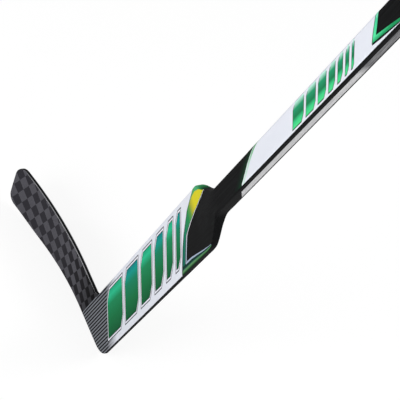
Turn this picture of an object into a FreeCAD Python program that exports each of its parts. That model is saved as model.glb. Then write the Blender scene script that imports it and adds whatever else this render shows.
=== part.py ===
import FreeCAD, Part

import math
import os

from FreeCAD import Vector

# Hockey goalie stick standing in its playing pose, in millimetres.
# The sole of the blade lies on Z = 0, the toe points to -X, the shaft leans to +X,
# and the forehand face, which the blade curves towards, looks to -Y.
# The origin is where the centreline of the shaft meets the sole.

# Whole stick
LIE_ANGLE = 62.3                # rise of the shaft from the ice, in degrees
EDGE_ROUND = 2.0                # rounding of the paddle's, heel's and blade's edges
BOND_GAP = 0.1                  # room for glue around tenons and plugs, and under the shaft's films
CUT_OVERRUN = 5.0               # how far cutting shapes run past what they cut

# Paddle: two skins, two rails, two foam cores and a spine
PADDLE_WIDTH = 88.0
PADDLE_LENGTH = 552.0           # sandwich between the heel block and the throat
PADDLE_THROAT_THICKNESS = 9.5
RAIL_WIDTH = 7.0
SKIN_THICKNESS = 0.8
SPINE_WIDTH = 6.0
TONGUE_LENGTH = 25.0            # of the heel block and the throat, between the skins
HEEL_RADIUS = 50.0              # round corner under the paddle
FILM_THICKNESS = 0.15
FILM_MARGIN = 0.6               # from the film's border to where the edge starts to round

# Throat: the shoulder between paddle and shaft
THROAT_LENGTH = 123.0
CROWN_HALF_WIDTH = 30.0         # half the width of the ridge that rises into the shaft
THROAT_CORE_LENGTH = 36.0
THROAT_CORE_START = 10.0        # above the foot of the throat
THROAT_CORE_WALL = 3.0          # moulding left over the foam
THROAT_CORE_INNER_SIDE = 16.0   # from the centreline to the near side of the foam
THROAT_CORE_OUTER_MARGIN = 8.0  # from the far side of the foam to the paddle's edge

# Stations along the throat, as shares of its length. At each of them, the half widths towards
# the blade and away from it (1 = paddle, 0 = shaft), because the shoulder on the blade's side
# stands higher, and the half thickness at the edge and on the ridge (0 = paddle, 1 = shaft)
STATION_SHARES = (0.0, 0.15, 0.30, 0.45, 0.60, 0.75, 0.88, 1.0)
INNER_WIDTH_SHARES = (1.0, 1.0, 0.985, 0.76, 0.41, 0.16, 0.02, 0.0)
OUTER_WIDTH_SHARES = (1.0, 1.0, 0.925, 0.675, 0.34, 0.05, 0.0, 0.0)
EDGE_SHARES = (0.0, 0.03, 0.08, 0.15, 0.26, 0.45, 0.75, 1.0)
RIDGE_SHARES = (0.0, 0.12, 0.32, 0.54, 0.74, 0.90, 0.98, 1.0)
CROWN_POINT_SHARES = (-1.0, -0.6, -0.3, 0.0, 0.3, 0.6, 1.0)
LOFT_DEGREE = 3

# Shaft
SHAFT_LENGTH = 755.0
SHAFT_WIDTH = 31.0
SHAFT_THICKNESS = 21.5
SHAFT_CORNER_RADIUS = 3.5
SHAFT_WALL = 2.2
TENON_TUBE_LENGTH = 70.0        # of the tenon, inside the tube
TENON_SOCKET_LENGTH = 70.0      # of the tenon, inside the throat
TENON_TIP_WIDTH = 18.0
TENON_TIP_THICKNESS = 7.0
TENON_TIP_RADIUS = 2.0
CAP_HEAD_LENGTH = 14.0
CAP_SPIGOT_LENGTH = 45.0
CAP_ROUND = 3.0

# Films on the shaft
SHAFT_FILM_START = 95.0         # from the foot of the shaft to the film's lower point
SHAFT_FILM_LENGTH = 555.0       # to the film's upper point
SHAFT_FILM_FOOT_SLANT = 103.0   # how much later the film starts on the inner edge
SHAFT_FILM_HEAD_SLANT = 40.0    # how much sooner it ends on the inner edge
SHAFT_FILM_NOTCH_DEPTH = 76.0   # from the upper point down to the bottom of its notch
SHAFT_FILM_NOTCH_SIDE = 6.5     # from the shaft's outer edge to the bottom of the notch
SHAFT_FILM_WRAP = 2.0           # how far the film goes down over the rounded corners
LABEL_START = 45.0
LABEL_LENGTH = 610.0
LABEL_WIDTH = 10.6
LABEL_SLANT = 28.0              # of both ends
LABEL_OFFSET = 1.2              # of its middle, towards the back

# Blade
BLADE_LENGTH = 373.0            # from the sharp heel corner to the toe
BLADE_THICKNESS = 6.6           # also of the heel block, so that the joint is flush
BLADE_HEEL_HEIGHT = 96.0
BLADE_TOE_HEIGHT = 95.0
BEND_START = 61.0               # from the origin to where the blade starts to curve
SOLE_BEND_RADIUS = 760.0        # curve of the sole, seen from above
TOP_BEND_RADIUS = 1100.0        # flatter curve at the top, so that the face opens
ROCKER_LENGTH = 76.0            # stretch of the sole that lifts towards the toe
ROCKER_RISE = 12.0
ROCKER_RADIUS = 300.0
TOE_BELLY_HEIGHT = 42.0         # where the toe reaches furthest
TOE_BELLY_RADIUS = 110.0
TOE_FOOT_RADIUS = 20.0
TOE_TOP_RADIUS = 26.0
TOE_TOP_SETBACK = 1.5
NOTCH_SIZE = 8.0                # web in the corner between the blade and the paddle
NOTCH_RADIUS = 9.0
EDGE_WRAP_WIDTH = 6.0
BLADE_SKIN_THICKNESS = 0.8
BLADE_GLUE_LINE = 0.3           # resin between a skin and the cores
BLADE_RIB_WIDTH = 6.0
BLADE_RIB_HEIGHT = 48.0         # of the rib's middle above the sole
BLADE_TENON_THICKNESS = 3.6
BLADE_TENON_DEPTH = 30.0        # into the heel block
BLADE_TENON_ROOT = 15.0         # into the blade
BLADE_TENON_START = 0.0         # lower end, along the joint from the origin's station
BLADE_TENON_LENGTH = 62.0

# Stations up the shaft's axis and half sizes that follow from the sizes above
RISE = math.radians(LIE_ANGLE)
HALF_PADDLE = PADDLE_WIDTH / 2
HALF_SHAFT = SHAFT_WIDTH / 2
HALF_BLADE = BLADE_THICKNESS / 2
HALF_SOLE = HALF_PADDLE / math.sin(RISE)
HEEL_STATION = HALF_PADDLE / math.tan(RISE)
NOTCH_STATION = (BLADE_HEEL_HEIGHT - HALF_PADDLE * math.cos(RISE)) / math.sin(RISE)
HEEL_TOP = NOTCH_STATION + NOTCH_SIZE
THROAT_FOOT = HEEL_TOP + PADDLE_LENGTH
SHAFT_FOOT = THROAT_FOOT + THROAT_LENGTH
SHAFT_TOP = SHAFT_FOOT + SHAFT_LENGTH
HALF_PANEL = HALF_PADDLE - RAIL_WIDTH

# Turns the stick's own frame (along the shaft, towards the blade, out of the forehand face)
# into the playing pose
PLAYING_POSE = FreeCAD.Matrix(
    math.cos(RISE), -math.sin(RISE), 0, 0,
    0, 0, -1, 0,
    math.sin(RISE), math.cos(RISE), 0, 0,
    0, 0, 0, 1)


def posed(shape):
    """Carries a shape from the stick's own frame into the playing pose."""
    return shape.transformed(PLAYING_POSE)


def rounded_outline(corners, place):
    """Closed wire of straight sides and tangent arcs.

    Each corner is (a, b, radius), with radius 0 for a sharp one, and place turns (a, b) into a point."""
    edges = []
    stops = []
    count = len(corners)
    for index, (a, b, radius) in enumerate(corners):
        here = Vector(a, b, 0)
        before = Vector(corners[index - 1][0], corners[index - 1][1], 0) - here
        after = Vector(corners[(index + 1) % count][0], corners[(index + 1) % count][1], 0) - here
        before.normalize()
        after.normalize()
        half_angle = before.getAngle(after) / 2
        reach = radius / math.tan(half_angle)
        bisector = before + after
        if radius > 0:
            bisector.normalize()
            middle = here + bisector * (radius / math.sin(half_angle) - radius)
        else:
            middle = here
        stops.append((here + before * reach, middle, here + after * reach))
    for index, (start, middle, end) in enumerate(stops):
        if corners[index][2] > 0:
            arc = Part.Arc(place(start.x, start.y), place(middle.x, middle.y), place(end.x, end.y))
            edges.append(arc.toShape())
        following = stops[(index + 1) % count][0]
        edges.append(Part.makeLine(place(end.x, end.y), place(following.x, following.y)))
    return Part.Wire(edges)


def cross_section(station, half_width, half_thickness, radius):
    """Rounded rectangle across the stick at a station."""
    corners = [
        (half_width, half_thickness, radius),
        (-half_width, half_thickness, radius),
        (-half_width, -half_thickness, radius),
        (half_width, -half_thickness, radius)]
    return rounded_outline(corners, lambda v, n: Vector(station, v, n))


def prism(wire, direction):
    """Solid swept from a flat closed wire."""
    return Part.Face(wire).extrude(direction)


def face_height(station):
    """Half thickness of the heel block and the paddle, which swells evenly towards the throat."""
    share = max(0.0, (station - HEEL_TOP) / PADDLE_LENGTH)
    return HALF_BLADE + share * (PADDLE_THROAT_THICKNESS / 2 - HALF_BLADE)


def paddle_layer(stations, inner, outer, low, high):
    """Ruled block along the paddle between two widths; low and high give its n limits at a station."""
    wires = []
    for station in stations:
        corners = [
            Vector(station, inner, low(station)),
            Vector(station, outer, low(station)),
            Vector(station, outer, high(station)),
            Vector(station, inner, high(station)),
            Vector(station, inner, low(station))]
        wires.append(Part.makePolygon(corners))
    return Part.makeLoft(wires, True, True)


def core_height(station):
    """Half thickness of what lies between the two skins."""
    return face_height(station) - SKIN_THICKNESS


def minus_core_height(station):
    """Lower side of what lies between the two skins."""
    return -core_height(station)


def heel_outline(inset):
    """Lower corner of the paddle: sole, round heel, outer edge, top and joint with the blade."""
    tall = HEEL_TOP + (CUT_OVERRUN + PADDLE_LENGTH if inset else 0)
    sole_run = 1 / math.tan(RISE)
    sole_shift = inset / math.sin(RISE)
    side = HALF_PADDLE - inset
    return rounded_outline([
        (tall, side, 0),
        (tall, -side, 0),
        (side * sole_run + sole_shift, -side, HEEL_RADIUS - inset),
        (-side * sole_run + sole_shift, side, 0)],
        lambda u, v: Vector(u, v, 0))


def make_heel_block():
    """Solid heel with rounded sole and outer edge, a tongue for the skins and a slot for the tenon."""
    depth = Vector(0, 0, BLADE_THICKNESS)
    outline = heel_outline(0)
    outline.translate(Vector(0, 0, -HALF_BLADE))
    block = prism(outline, depth)
    rims = []
    for edge in block.Edges:
        middle = edge.CenterOfMass
        on_face = abs(abs(middle.z) - HALF_BLADE) < EDGE_ROUND / 2
        at_joint = middle.y > HALF_PADDLE - EDGE_ROUND
        at_top = middle.x > HEEL_TOP - EDGE_ROUND
        if on_face and not at_joint and not at_top:
            rims.append(edge)
    block = block.makeFillet(EDGE_ROUND, rims)
    tongue = paddle_layer((HEEL_TOP, HEEL_TOP + TONGUE_LENGTH), -HALF_PANEL, HALF_PANEL,
                          minus_core_height, core_height)
    return block.fuse(tongue).cut(blade_tenon_shape(BOND_GAP)).removeSplitter()


def blade_tenon_shape(gap):
    """Flat tongue across the joint line between heel block and blade, grown by a gap all round."""
    corner = Vector(BLADE_TENON_START - gap, HALF_PADDLE - BLADE_TENON_DEPTH - gap,
                    -BLADE_TENON_THICKNESS / 2 - gap)
    return Part.makeBox(BLADE_TENON_LENGTH + 2 * gap, BLADE_TENON_DEPTH + BLADE_TENON_ROOT + 2 * gap,
                        BLADE_TENON_THICKNESS + 2 * gap, corner)


def make_rail(side):
    """Edge of the paddle: full thickness, square against the core and rounded outside."""
    wires = []
    for station in (HEEL_TOP, THROAT_FOOT):
        high = face_height(station)
        corners = [
            (side * HALF_PANEL, high, 0),
            (side * HALF_PADDLE, high, EDGE_ROUND),
            (side * HALF_PADDLE, -high, EDGE_ROUND),
            (side * HALF_PANEL, -high, 0)]
        wires.append(rounded_outline(corners, lambda v, n: Vector(station, v, n)))
    return Part.makeLoft(wires, True, True)


def make_paddle_film(side):
    """Printed film over heel and paddle, inside the rounded edges; side is 1 in front, -1 behind."""
    inset = EDGE_ROUND + FILM_MARGIN
    half_width = HALF_PADDLE - inset
    stations = (-HEEL_STATION - CUT_OVERRUN, HEEL_TOP, THROAT_FOOT)
    sheet = paddle_layer(stations, -half_width, half_width,
                         lambda station: side * face_height(station),
                         lambda station: side * (face_height(station) + FILM_THICKNESS))
    outline = heel_outline(inset)
    outline.translate(Vector(0, 0, -PADDLE_WIDTH))
    return sheet.common(prism(outline, Vector(0, 0, 2 * PADDLE_WIDTH)))


def throat_section(index):
    """Section of the throat at one station: rounded sides under a ridge with a cosine-squared crown."""
    station = THROAT_FOOT + STATION_SHARES[index] * THROAT_LENGTH
    inner = HALF_SHAFT + INNER_WIDTH_SHARES[index] * (HALF_PADDLE - HALF_SHAFT)
    outer = HALF_SHAFT + OUTER_WIDTH_SHARES[index] * (HALF_PADDLE - HALF_SHAFT)
    foot = PADDLE_THROAT_THICKNESS / 2
    swell = SHAFT_THICKNESS / 2 - foot
    edge = foot + EDGE_SHARES[index] * swell
    ridge = foot + RIDGE_SHARES[index] * swell
    radius = EDGE_ROUND + EDGE_SHARES[index] * (SHAFT_CORNER_RADIUS - EDGE_ROUND)

    def height(v):
        reach = min(abs(v) / CROWN_HALF_WIDTH, 1.0)
        return edge + (ridge - edge) * math.cos(math.pi / 2 * reach) ** 2

    bevel = radius * (1 - math.sqrt(0.5))
    edges = []
    for side, near, far in ((1, outer, inner), (-1, inner, outer)):
        start, end = radius - near, far - radius
        crown = []
        for share in CROWN_POINT_SHARES:
            v = (start + end) / 2 + share * (end - start) / 2
            crown.append(Vector(station, side * v, side * height(v)))
        curve = Part.BSplineCurve()
        curve.interpolate(crown)
        edges.append(curve.toShape())
        shoulder = height(end)
        for top in (1, -1):
            corner = [
                Vector(station, side * end, side * top * shoulder),
                Vector(station, side * (far - bevel), side * top * (shoulder - bevel)),
                Vector(station, side * far, side * top * (shoulder - radius))]
            if top > 0:
                edges.append(Part.Arc(corner[0], corner[1], corner[2]).toShape())
                waist = corner[2]
            else:
                edges.append(Part.makeLine(waist, corner[2]))
                edges.append(Part.Arc(corner[2], corner[1], corner[0]).toShape())
    return Part.Wire(edges)


def make_throat_core(side):
    """Foam block beside the socket; side is 1 towards the blade."""
    near = THROAT_CORE_INNER_SIDE
    far = HALF_PADDLE - THROAT_CORE_OUTER_MARGIN
    high = PADDLE_THROAT_THICKNESS / 2 - THROAT_CORE_WALL
    corner = Vector(THROAT_FOOT + THROAT_CORE_START, near if side > 0 else -far, -high)
    return Part.makeBox(THROAT_CORE_LENGTH, far - near, 2 * high, corner)


def tenon_shape(gap):
    """Tapered lower half of the shaft's tenon, as it sits in the throat's socket."""
    half_width = HALF_SHAFT - SHAFT_WALL - BOND_GAP + gap
    half_thickness = SHAFT_THICKNESS / 2 - SHAFT_WALL - BOND_GAP + gap
    tip = cross_section(SHAFT_FOOT - TENON_SOCKET_LENGTH - gap, TENON_TIP_WIDTH / 2 + gap,
                        TENON_TIP_THICKNESS / 2 + gap, TENON_TIP_RADIUS)
    root = cross_section(SHAFT_FOOT, half_width, half_thickness, TENON_TIP_RADIUS)
    return Part.makeLoft([tip, root], True, True)


def make_throat():
    """Shoulder moulding: lofted outside, a tongue for the paddle's skins, a socket and two foam pockets."""
    sections = [throat_section(index) for index in range(len(STATION_SHARES))]
    body = Part.makeLoft(sections, True, False, False, LOFT_DEGREE)
    tongue = paddle_layer((THROAT_FOOT - TONGUE_LENGTH, THROAT_FOOT), -HALF_PANEL, HALF_PANEL,
                          minus_core_height, core_height)
    body = body.fuse(tongue)
    pockets = [tenon_shape(BOND_GAP), make_throat_core(1), make_throat_core(-1)]
    return body.cut(pockets)


def bore_section(station, gap):
    """Inside of the shaft's tube, drawn in by a gap."""
    return cross_section(station, HALF_SHAFT - SHAFT_WALL - gap, SHAFT_THICKNESS / 2 - SHAFT_WALL - gap,
                         TENON_TIP_RADIUS)


def outer_section(station, growth):
    """Outside of the shaft's tube, grown by a film."""
    return cross_section(station, HALF_SHAFT + growth, SHAFT_THICKNESS / 2 + growth,
                         SHAFT_CORNER_RADIUS + growth)


def make_shaft_tube():
    """Hollow tube with rounded corners, open at both ends."""
    along = Vector(SHAFT_LENGTH, 0, 0)
    return prism(outer_section(SHAFT_FOOT, 0), along).cut(prism(bore_section(SHAFT_FOOT, 0), along))


def make_shaft_tenon():
    """Insert with a tapered half for the throat and a straight half for the tube."""
    upper = prism(bore_section(SHAFT_FOOT, BOND_GAP), Vector(TENON_TUBE_LENGTH, 0, 0))
    return tenon_shape(0).fuse(upper).removeSplitter()


def make_shaft_foam():
    """Foam that fills the bore between the tenon and the end cap."""
    start = SHAFT_FOOT + TENON_TUBE_LENGTH
    length = SHAFT_LENGTH - TENON_TUBE_LENGTH - CAP_SPIGOT_LENGTH
    return prism(bore_section(start, 0), Vector(length, 0, 0))


def make_end_cap():
    """Plug with a head of the tube's own outline, rounded at its top, and a spigot in the bore."""
    head = prism(outer_section(SHAFT_TOP, 0), Vector(CAP_HEAD_LENGTH, 0, 0))
    rims = [edge for edge in head.Edges if edge.BoundBox.XMin > SHAFT_TOP + CAP_HEAD_LENGTH / 2]
    head = head.makeFillet(CAP_ROUND, rims)
    spigot = prism(bore_section(SHAFT_TOP - CAP_SPIGOT_LENGTH, BOND_GAP), Vector(CAP_SPIGOT_LENGTH, 0, 0))
    return head.fuse(spigot).removeSplitter()


def make_shaft_film(side):
    """White film folded over the corners of a broad face; slanted foot, notched head."""
    start = SHAFT_FOOT + SHAFT_FILM_START
    end = start + SHAFT_FILM_LENGTH
    wide = HALF_SHAFT + CUT_OVERRUN
    outline = Part.makePolygon([
        Vector(start, -wide, 0),
        Vector(end, -wide, 0),
        Vector(end - SHAFT_FILM_NOTCH_DEPTH, -HALF_SHAFT + SHAFT_FILM_NOTCH_SIDE, 0),
        Vector(end - SHAFT_FILM_HEAD_SLANT, wide, 0),
        Vector(start + SHAFT_FILM_FOOT_SLANT, wide, 0),
        Vector(start, -wide, 0)])
    outline.translate(Vector(0, 0, side * (SHAFT_THICKNESS / 2 - SHAFT_FILM_WRAP)))
    along = Vector(SHAFT_LENGTH, 0, 0)
    sheath = prism(outer_section(SHAFT_FOOT, BOND_GAP + FILM_THICKNESS), along)
    sheath = sheath.cut(prism(outer_section(SHAFT_FOOT, BOND_GAP), along))
    return sheath.common(prism(outline, Vector(0, 0, side * (SHAFT_FILM_WRAP + CUT_OVERRUN))))


def make_side_label():
    """Grey film with slanted ends on the shaft's outer narrow side."""
    start = SHAFT_FOOT + LABEL_START
    high = LABEL_WIDTH / 2 - LABEL_OFFSET
    low = -LABEL_WIDTH / 2 - LABEL_OFFSET
    outline = Part.makePolygon([
        Vector(start, -HALF_SHAFT, low),
        Vector(start + LABEL_LENGTH, -HALF_SHAFT, low),
        Vector(start + LABEL_LENGTH + LABEL_SLANT, -HALF_SHAFT, high),
        Vector(start + LABEL_SLANT, -HALF_SHAFT, high),
        Vector(start, -HALF_SHAFT, low)])
    return prism(outline, Vector(0, -FILM_THICKNESS, 0))


def bend_strip(height, bend_radius, low, high):
    """Plan outline of the blade between two offsets from its middle surface, at a height.

    It is straight past the joint and then follows an arc whose centre lies in front of the blade."""
    heel = BLADE_HEEL_HEIGHT / math.tan(RISE)
    reach = BLADE_LENGTH - HALF_SOLE + CUT_OVERRUN - BEND_START
    turn = math.asin(reach / (bend_radius - HALF_BLADE))

    def on_arc(offset, angle):
        radius = bend_radius - offset
        return Vector(-BEND_START - radius * math.sin(angle), radius * math.cos(angle) - bend_radius, height)

    edges = []
    for offset, ends in ((low, (0, turn)), (high, (turn, 0))):
        arc = Part.Arc(on_arc(offset, ends[0]), on_arc(offset, turn / 2), on_arc(offset, ends[1])).toShape()
        straight = [Vector(heel, -offset, height), on_arc(offset, 0)]
        if ends[0] == 0:
            edges += [Part.makeLine(straight[0], straight[1]), arc]
            edges.append(Part.makeLine(on_arc(low, turn), on_arc(high, turn)))
        else:
            edges += [arc, Part.makeLine(straight[1], straight[0])]
            edges.append(Part.makeLine(straight[0], Vector(heel, -low, height)))
    return Part.Wire(edges)


def blade_layer(low, high):
    """Curved layer of the blade, opening towards its top, between two offsets from its middle surface."""
    top = BLADE_HEEL_HEIGHT + CUT_OVERRUN
    sole = bend_strip(0, SOLE_BEND_RADIUS, low, high)
    crest = bend_strip(top, TOP_BEND_RADIUS, low, high)
    return Part.makeLoft([sole, crest], True, True)


def blade_outline(joint_shift):
    """Side view of the blade, with the joint moved along the sole by a shift."""
    toe = HALF_SOLE - BLADE_LENGTH
    lean = 1 / math.tan(RISE)
    joint_foot = joint_shift - HALF_SOLE
    web_top = BLADE_HEEL_HEIGHT + NOTCH_SIZE * math.sin(RISE)
    return rounded_outline([
        (joint_foot, 0, 0),
        (toe + ROCKER_LENGTH, 0, ROCKER_RADIUS),
        (toe, ROCKER_RISE, TOE_FOOT_RADIUS),
        (toe, TOE_BELLY_HEIGHT, TOE_BELLY_RADIUS),
        (toe + TOE_TOP_SETBACK, BLADE_TOE_HEIGHT, TOE_TOP_RADIUS),
        (joint_foot + BLADE_HEEL_HEIGHT * lean - NOTCH_SIZE, BLADE_HEEL_HEIGHT, NOTCH_RADIUS),
        (joint_foot + web_top * lean, web_top, 0)],
        lambda x, z: Vector(x, 0, z))


def through_blade(outline):
    """Cutting prism across the whole blade from a side-view outline."""
    room = BLADE_LENGTH
    outline.translate(Vector(0, -room, 0))
    return prism(outline, Vector(0, 2 * room, 0))


def blade_core_field():
    """Space inside the edge wrap, which reaches the joint on its heel side."""
    inner = blade_outline(EDGE_WRAP_WIDTH / math.sin(RISE)).makeOffset2D(-EDGE_WRAP_WIDTH)
    return through_blade(inner)


def make_edge_wrap():
    """Rounded rim of the blade around sole, toe and top."""
    blank = blade_layer(-HALF_BLADE, HALF_BLADE).common(through_blade(blade_outline(0)))
    rims = []
    for edge in blank.Edges:
        middle = edge.valueAt((edge.FirstParameter + edge.LastParameter) / 2)
        from_joint = HALF_SOLE + middle.x - middle.z / math.tan(RISE)
        across = abs(edge.tangentAt(edge.FirstParameter).y) > math.cos(RISE)
        if from_joint < -NOTCH_SIZE and not across:
            rims.append(edge)
    blank = blank.makeFillet(EDGE_ROUND, rims)
    return blank.cut(blade_core_field())


def make_blade_core(low_height, high_height):
    """Part of the blade's filling between two heights, with a pocket for the tenon."""
    half_core = HALF_BLADE - BLADE_SKIN_THICKNESS - BLADE_GLUE_LINE
    field = blade_layer(-half_core, half_core).common(blade_core_field())
    room = BLADE_LENGTH
    band = Part.makeBox(2 * room, 2 * room, high_height - low_height, Vector(-room, -room, low_height))
    return field.common(band).cut(posed(blade_tenon_shape(BOND_GAP)))


def build():
    """Every piece by its name, in the playing pose."""
    heel_to_throat = (HEEL_TOP, THROAT_FOOT)
    between_tongues = (HEEL_TOP + TONGUE_LENGTH, THROAT_FOOT - TONGUE_LENGTH)
    half_spine = SPINE_WIDTH / 2
    rib_low = BLADE_RIB_HEIGHT - BLADE_RIB_WIDTH / 2
    rib_high = BLADE_RIB_HEIGHT + BLADE_RIB_WIDTH / 2
    field = blade_core_field()
    along_shaft = {
        "shaft_tube": make_shaft_tube(),
        "shaft_foam_core": make_shaft_foam(),
        "shaft_tenon": make_shaft_tenon(),
        "shaft_end_cap": make_end_cap(),
        "shaft_front_film": make_shaft_film(1),
        "shaft_back_film": make_shaft_film(-1),
        "shaft_side_label": make_side_label(),
        "throat_moulding": make_throat(),
        "throat_inner_core": make_throat_core(1),
        "throat_outer_core": make_throat_core(-1),
        "paddle_front_skin": paddle_layer(heel_to_throat, -HALF_PANEL, HALF_PANEL, core_height, face_height),
        "paddle_back_skin": paddle_layer(heel_to_throat, -HALF_PANEL, HALF_PANEL, minus_core_height,
                                         lambda station: -face_height(station)),
        "paddle_inner_rail": make_rail(1),
        "paddle_outer_rail": make_rail(-1),
        "paddle_inner_core": paddle_layer(between_tongues, half_spine, HALF_PANEL,
                                          minus_core_height, core_height),
        "paddle_outer_core": paddle_layer(between_tongues, -HALF_PANEL, -half_spine,
                                          minus_core_height, core_height),
        "paddle_spine": paddle_layer(between_tongues, -half_spine, half_spine,
                                     minus_core_height, core_height),
        "heel_block": make_heel_block(),
        "paddle_front_film": make_paddle_film(1),
        "paddle_back_film": make_paddle_film(-1),
        "blade_tenon": blade_tenon_shape(0),
    }
    pieces = {name: posed(shape) for name, shape in along_shaft.items()}
    skin_low = HALF_BLADE - BLADE_SKIN_THICKNESS
    pieces["blade_front_skin"] = blade_layer(skin_low, HALF_BLADE).common(field)
    pieces["blade_back_skin"] = blade_layer(-HALF_BLADE, -skin_low).common(field)
    pieces["blade_edge_wrap"] = make_edge_wrap()
    pieces["blade_lower_core"] = make_blade_core(0, rib_low)
    pieces["blade_rib"] = make_blade_core(rib_low, rib_high)
    pieces["blade_upper_core"] = make_blade_core(rib_high, BLADE_HEEL_HEIGHT + NOTCH_SIZE)
    return pieces


os.makedirs("parts", exist_ok=True)
for name, shape in build().items():
    shape.exportStep("parts/" + name + ".step")
    print(name, len(shape.Solids), "solids", "valid" if shape.isValid() else "INVALID", round(shape.Volume))
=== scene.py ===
import math

import bmesh
import bpy
import numpy as np
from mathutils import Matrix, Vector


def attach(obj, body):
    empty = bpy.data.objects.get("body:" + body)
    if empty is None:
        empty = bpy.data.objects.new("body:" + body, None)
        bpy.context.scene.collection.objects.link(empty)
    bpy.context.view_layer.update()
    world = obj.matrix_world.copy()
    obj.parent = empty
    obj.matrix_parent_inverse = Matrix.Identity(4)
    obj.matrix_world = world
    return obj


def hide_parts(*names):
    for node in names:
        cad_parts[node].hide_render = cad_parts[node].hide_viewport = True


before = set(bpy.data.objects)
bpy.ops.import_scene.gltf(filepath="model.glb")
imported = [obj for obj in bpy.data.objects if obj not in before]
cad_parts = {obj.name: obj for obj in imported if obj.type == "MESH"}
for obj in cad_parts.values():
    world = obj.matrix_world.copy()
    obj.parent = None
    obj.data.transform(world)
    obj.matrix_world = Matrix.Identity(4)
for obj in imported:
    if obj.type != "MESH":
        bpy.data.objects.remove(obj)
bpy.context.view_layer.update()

# Blade body
# The blade is a thin foam sandwich with a rim of wound carbon, moulded in one closed tool and clear-coated.
# It is glued to the heel on a slanted joint, and curves and opens towards the forehand face.
# Sizes are in millimetres and meshes in metres; the last section, floor, light and camera, is in metres.
METRE = 1000.0
LIE = math.radians(62.3)
HALF_PADDLE = 44.0
HALF_SOLE = HALF_PADDLE / math.sin(LIE)
HALF_BLADE = 3.3
EDGE_ROUND = 2.0
BLADE_LENGTH = 373.0
BLADE_TOE = HALF_SOLE - BLADE_LENGTH
BLADE_TOP = 96.0
ROCKER_REACH, ROCKER_RADIUS = 76.0, 300.0
TOE_LOW, TOE_LOW_RADIUS = 12.0, 20.0
TOE_BELLY = 42.0
TOE_TOP, TOE_TOP_INSET, TOE_TOP_RADIUS = 95.0, 1.5, 26.0
BEND_START = 61.0
SOLE_BEND = 760.0
TOP_BEND = 1100.0
TOP_BEND_HEIGHT = 101.0
NOTCH_SIZE, NOTCH_RADIUS = 8.0, 9.0
JOINT_LAP = 1.5
BLADE_ROWS = 200
RIM_STEPS = 8
FACE_COLUMNS = 28
ARC_STEPS = 40
SHARP_ANGLE = math.radians(40)
WELD_DISTANCE = 1e-6
SIDES = (("front", 1), ("back", -1))


def linear(code):
    """Linear colour with alpha from an sRGB hex code: the two-part sRGB curve, undone for each channel."""
    channels = np.array([int(code[i:i + 2], 16) for i in (1, 3, 5)]) / 255
    curve = np.where(channels <= 0.04045, channels / 12.92, ((channels + 0.055) / 1.055) ** 2.4)
    return (*curve.tolist(), 1.0)


def add_node(tree, kind, inputs, stops=(), **settings):
    """Adds a node with its settings. Inputs maps a socket to a value or to the socket that feeds it,
    and stops are the places and hex colours of a colour ramp."""
    node = tree.nodes.new(kind)
    for name, value in settings.items():
        setattr(node, name, value)
    for index, (place, code) in enumerate(stops):
        stop = node.color_ramp.elements[index] if index < 2 else node.color_ramp.elements.new(place)
        stop.position = place
        stop.color = linear(code)
    for name, value in inputs.items():
        if isinstance(value, bpy.types.NodeSocket):
            tree.links.new(value, node.inputs[name])
        else:
            node.inputs[name].default_value = value
    return node


def new_finish(name, sockets):
    """New material with its node tree and its shader, whose even values stand on the shader's own sockets."""
    material = bpy.data.materials.new(name)
    material.use_nodes = True
    shader = material.node_tree.nodes["Principled BSDF"]
    for socket, value in sockets.items():
        shader.inputs[socket].default_value = value
    return material, material.node_tree, shader


def path_between(points, count):
    """Places evenly spaced along a line of points, by its summed length."""
    points = np.asarray(points, float)
    length = np.concatenate([[0], np.cumsum(np.hypot(*np.diff(points, axis=0).T))])
    even = np.linspace(0, length[-1], count)
    return np.stack([np.interp(even, length, points[:, 0]), np.interp(even, length, points[:, 1])], 1)


def rounded_path(corners, count):
    """Line from the first corner to the last in which each corner between them, (a, b, radius), is a tangent
    arc: points at the radius from a centre that lies on the corner's bisector. Evenly spaced."""
    runs = [np.array([corners[0][:2]])]
    for before, here, after in zip(corners, corners[1:], corners[2:]):
        point = np.array(here[:2])
        back = np.array(before[:2]) - point
        ahead = np.array(after[:2]) - point
        back /= np.linalg.norm(back)
        ahead /= np.linalg.norm(ahead)
        half = np.arccos(np.clip(back @ ahead, -1, 1)) / 2
        bisector = (back + ahead) / np.linalg.norm(back + ahead)
        across = (ahead - back) / np.linalg.norm(ahead - back)
        sweep = np.linspace(-1, 1, ARC_STEPS)[:, None] * (np.pi / 2 - half)
        centre = point + bisector * here[2] / np.sin(half)
        runs.append(centre + here[2] * (across * np.sin(sweep) - bisector * np.cos(sweep)))
    runs.append(np.array([corners[-1][:2]]))
    return path_between(np.concatenate(runs), count)


def normals_of(path, side):
    """Unit normals of a path: its direction turned a quarter, to the left (side 1) or right (-1)."""
    along = np.gradient(path, axis=0)
    along /= np.linalg.norm(along, axis=1, keepdims=True)
    return side * np.stack([-along[:, 1], along[:, 0]], 1)


def plate_face(low, high, from_angle, lift):
    """Face of the blade between two edge paths, as (row, column) arrays of x, z and height.

    Each row climbs the low edge's quarter round from an angle, crosses level to the high edge, and goes down
    its quarter round. At an angle the round lies radius * (1 - cos) in from the edge and radius * (1 - sin)
    below the face; lift grows the round and the face outwards."""
    angle = np.linspace(from_angle, np.pi / 2, RIM_STEPS)
    inset = EDGE_ROUND - (EDGE_ROUND + lift) * np.cos(angle)
    height = HALF_BLADE - EDGE_ROUND + (EDGE_ROUND + lift) * np.sin(angle)
    low_rim = low[:, None] + normals_of(low, -1)[:, None] * inset[:, None]
    high_rim = high[:, None] + normals_of(high, 1)[:, None] * inset[::-1, None]
    share = np.linspace(0, 1, FACE_COLUMNS + 2)[1:-1, None]
    middle = low_rim[:, -1:] * (1 - share) + high_rim[:, :1] * share
    plan = np.concatenate([low_rim, middle, high_rim], 1)
    level = np.concatenate([height, np.full(FACE_COLUMNS, HALF_BLADE + lift), height[::-1]])
    return plan[..., 0], plan[..., 1], np.broadcast_to(level, plan.shape[:2])


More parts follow.
